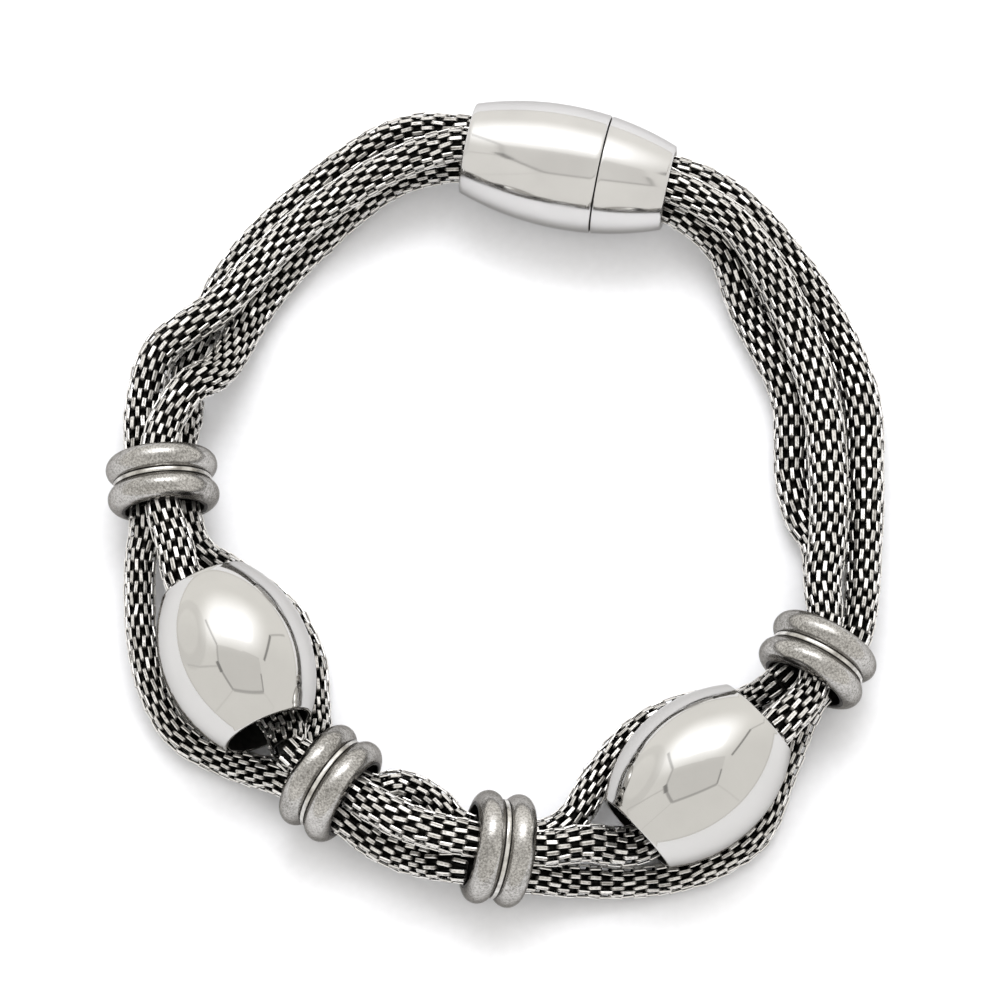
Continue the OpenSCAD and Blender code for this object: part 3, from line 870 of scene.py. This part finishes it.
# %% Paper floor
# the paper's tooth, nearly a millimetre wide, only keeps the white from looking empty
paper = mottled("matt_white_paper", 1.2, 2.0, ((0.3, "#EFF0F4"), (0.7, "#F2F3F7")), Roughness=0.9,
                Specular_IOR_Level=0.1)
HALF_FLOOR = 0.5
corners = [(x * HALF_FLOOR, y * HALF_FLOOR, 0) for x, y in ((-1, -1), (1, -1), (1, 1), (-1, 1))]
mesh = bpy.data.meshes.new("paper_floor")
mesh.from_pydata(corners, [], [(0, 1, 2, 3)])
mesh.materials.append(paper)
floor = bpy.data.objects.new("paper_floor", mesh)
scene.collection.objects.link(floor)
print("floor: %.0f m of paper" % (2 * HALF_FLOOR))

# %% Shapes to draw on the tent
world = bpy.data.worlds.new("light_tent")
scene.world = world
world.use_nodes = True
tent = world.node_tree
tent.nodes.clear()
direction = add(tent, "ShaderNodeTexCoord").outputs["Generated"]


def ceiling(x, y):
    """The direction to a place on the tent's ceiling: x to the right of straight up, and y to the back."""
    v = np.array((x, y, 1.0))
    return v / np.linalg.norm(v)


def facing(aim):
    """How much a ray goes towards a direction, from -1 to 1."""
    return add(tent, "ShaderNodeVectorMath DOT_PRODUCT", direction, tuple(aim))


def soft_step(value, place, soft, rising=True):
    """0 to 1 as the value rises past a place, or 1 to 0."""
    start, end = (0.0, 1.0) if rising else (1.0, 0.0)
    return add(tent, "ShaderNodeMapRange", value, From_Min=place - soft, From_Max=place + soft,
               To_Min=start, To_Max=end, settings={"interpolation_type": "SMOOTHSTEP"})


def left_of(start, end):
    """How far a ray goes to the left of the straight line from one place to another."""
    normal = np.cross(ceiling(*start), ceiling(*end))
    return facing(normal / np.linalg.norm(normal))


def panel(corners, softness):
    """1 inside a flat panel, 0 outside. The corners go round to the left, and each side has a softness."""
    inside = 1.0
    for start, end, soft in zip(corners, corners[1:] + corners[:1], softness):
        inside = add(tent, "ShaderNodeMath MULTIPLY", soft_step(left_of(start, end), 0.0, soft), inside)
    return inside


def seam(start, end, darkness, half_width):
    """A thin straight line from one place to another, as dark as given."""
    a, b = ceiling(*start), ceiling(*end)
    normal = np.cross(a, b) / np.linalg.norm(np.cross(a, b))
    beside = add(tent, "ShaderNodeMath ABSOLUTE", facing(normal))
    thin = soft_step(beside, half_width, half_width / 2, False)
    line = add(tent, "ShaderNodeMath MULTIPLY", thin, darkness)
    for end_normal in (np.cross(normal, a), np.cross(b, normal)):
        inside = add(tent, "ShaderNodeMath GREATER_THAN", facing(end_normal), 0.0)
        line = add(tent, "ShaderNodeMath MULTIPLY", line, inside)
    return line


def disc(middle, degrees, soft):
    """1 inside a round patch of the tent with that radius, and 0 outside."""
    return soft_step(facing(ceiling(*middle)), math.cos(math.radians(degrees)), soft)


print("tent: cleared, and its shapes defined")

# %% Places on the tent, and how bright its parts are
# the wall's brightness, what the lamp adds widely and in its core, and what other parts add or take
WALL, LAMP, CORE, BACK_CLOTH, OPENING, LAMP_IN_OPENING = 1.12, 1.0, 4.5, 0.12, -0.12, -0.6
WARM, WHITE, BACKGROUND = (1.02, 1.0, 0.955, 1), (1, 1, 1, 1), 0.95
TOP_LEFT, LEFT_FOLD, LOW_LEFT = (-0.54, 0.09), (-0.64, -0.31), (-0.4, -0.76)
LOW_RIGHT, TOP_RIGHT = (0.6, -0.6), (0.53, 0.02)
SEAM_START, SEAM_CORNER, LEFT_JOINT, LOW_JOINT = (0.7, 0.04), (1.3, 0.83), (-1.93, -0.53), (-1.9, -2.2)
LAMP_CORNERS, LAMP_EDGES = [(-0.85, 0.18), (0.45, 0.16), (0.85, 1.15), (-0.9, 1.15)], (0.24, 0.3, 0.3, 0.25)
CORE_CORNERS, CORE_EDGES = [(-0.3, 0.35), (0.32, 0.35), (0.37, 0.7), (-0.3, 0.7)], (0.13, 0.13, 0.1, 0.1)
OPENING_CORNERS = [TOP_LEFT, LEFT_FOLD, LOW_LEFT, LOW_RIGHT, TOP_RIGHT]
OPENING_EDGES, LAMP_CUT, BACK_FROM, BACK_SOFT = (0.01, 0.02, 0.02, 0.01, 0.01), 0.01, 0.35, 0.25
HOLE, HOLE_INSIDE, HOLE_DARKNESS = ((-2.7, 0.65), 27, 0.012), ((-2.9, 0.8), 17, 0.012), 0.09
HORIZON, HORIZON_SOFT, HORIZON_DARKNESS = 0.025, 0.015, 0.12
# the seams between panels: from where, to where, how dark, and half as wide
SEAMS = (
    (TOP_LEFT, LEFT_FOLD, 0.28, 0.02), ((-0.66, -0.22), (-0.6, -0.42), 0.65, 0.04),
    (LEFT_FOLD, LOW_LEFT, 0.42, 0.026), (LOW_LEFT, LOW_RIGHT, 0.36, 0.026),
    (LOW_RIGHT, (0.54, -0.23), 0.5, 0.016), ((0.1, 0.06), (0.53, 0.03), 0.15, 0.012),
    (SEAM_START, SEAM_CORNER, 0.62, 0.022), (SEAM_CORNER, (6, 3.6), 0.3, 0.014),
    (TOP_LEFT, (-0.88, 0.65), 0.4, 0.022), (LEFT_FOLD, LEFT_JOINT, 0.2, 0.015),
    (LEFT_JOINT, (-8, -1.2), 0.2, 0.015), (LOW_LEFT, LOW_JOINT, 0.1, 0.012),
    (LOW_JOINT, (-12, -12), 0.1, 0.012), (LOW_RIGHT, (12, -9), 0.09, 0.012))
print("seams on the tent:", len(SEAMS))

# %% Light of the tent
lamp = panel(LAMP_CORNERS, LAMP_EDGES)
beside = soft_step(left_of(SEAM_START, SEAM_CORNER), 0.0, LAMP_CUT)
lamp = add(tent, "ShaderNodeMath MULTIPLY", lamp, beside)
core = panel(CORE_CORNERS, CORE_EDGES)
opening = panel(OPENING_CORNERS, OPENING_EDGES)
back = soft_step(facing((0, 1, 0)), BACK_FROM, BACK_SOFT)
dimmed = add(tent, "ShaderNodeMath MULTIPLY_ADD", opening, LAMP_IN_OPENING, 1.0)
lamp = add(tent, "ShaderNodeMath MULTIPLY", lamp, dimmed)
light = WALL
for part, brightness in ((back, BACK_CLOTH), (opening, OPENING), (lamp, LAMP), (core, CORE)):
    light = add(tent, "ShaderNodeMath MULTIPLY_ADD", part, brightness, light)
print("tent:", len(tent.nodes), "nodes")

# %% Dark lines of the tent, and the world's shader
up = add(tent, "ShaderNodeMath ABSOLUTE", add(tent, "ShaderNodeSeparateXYZ", direction).outputs["Z"])
horizon = soft_step(up, HORIZON, HORIZON_SOFT, False)
round_hole = add(tent, "ShaderNodeMath SUBTRACT", disc(*HOLE), disc(*HOLE_INSIDE))
dark = add(tent, "ShaderNodeMath MULTIPLY", horizon, HORIZON_DARKNESS)
round_hole = add(tent, "ShaderNodeMath MULTIPLY", round_hole, HOLE_DARKNESS)
dark = add(tent, "ShaderNodeMath MAXIMUM", dark, round_hole)
for row in SEAMS:
    dark = add(tent, "ShaderNodeMath MAXIMUM", dark, seam(*row))
light = add(tent, "ShaderNodeMath MULTIPLY", light, add(tent, "ShaderNodeMath SUBTRACT", 1.0, dark))
seen = add(tent, "ShaderNodeLightPath").outputs["Is Camera Ray"]
strength = add(tent, "ShaderNodeMix", Factor=seen, A=light, B=BACKGROUND, settings={"data_type": "FLOAT"})
tint = add(tent, "ShaderNodeValToRGB", add(tent, "ShaderNodeMath MAXIMUM", lamp, seen),
           settings={"stops": ((0, WARM), (1, WHITE))})
add(tent, "ShaderNodeOutputWorld", add(tent, "ShaderNodeBackground", Color=tint, Strength=strength))
print("tent:", len(tent.nodes), "nodes")

# %% [markdown]
# The tent alone gives soft light without shadows. The photograph has faint shadows to
# the front, so one lamp stands behind the bracelet. Beads would show it as a hard
# square beside the tent's own light, so it is hidden from mirror rays.

# %% Key light
KEY_PLACE, KEY_WIDTH, KEY_HEIGHT, KEY_POWER = (0.02, 0.34, 0.46), 0.3, 0.2, 0.5
key_data = bpy.data.lights.new("key", "AREA")
key_data.shape = "RECTANGLE"
key_data.size = KEY_WIDTH
key_data.size_y = KEY_HEIGHT
key_data.energy = KEY_POWER
key = bpy.data.objects.new("key", key_data)
scene.collection.objects.link(key)
key.location = KEY_PLACE
key.rotation_euler = (AIM - key.location).to_track_quat("-Z", "Y").to_euler()
key.visible_glossy = False
print("key light at", [round(v, 2) for v in key.location])
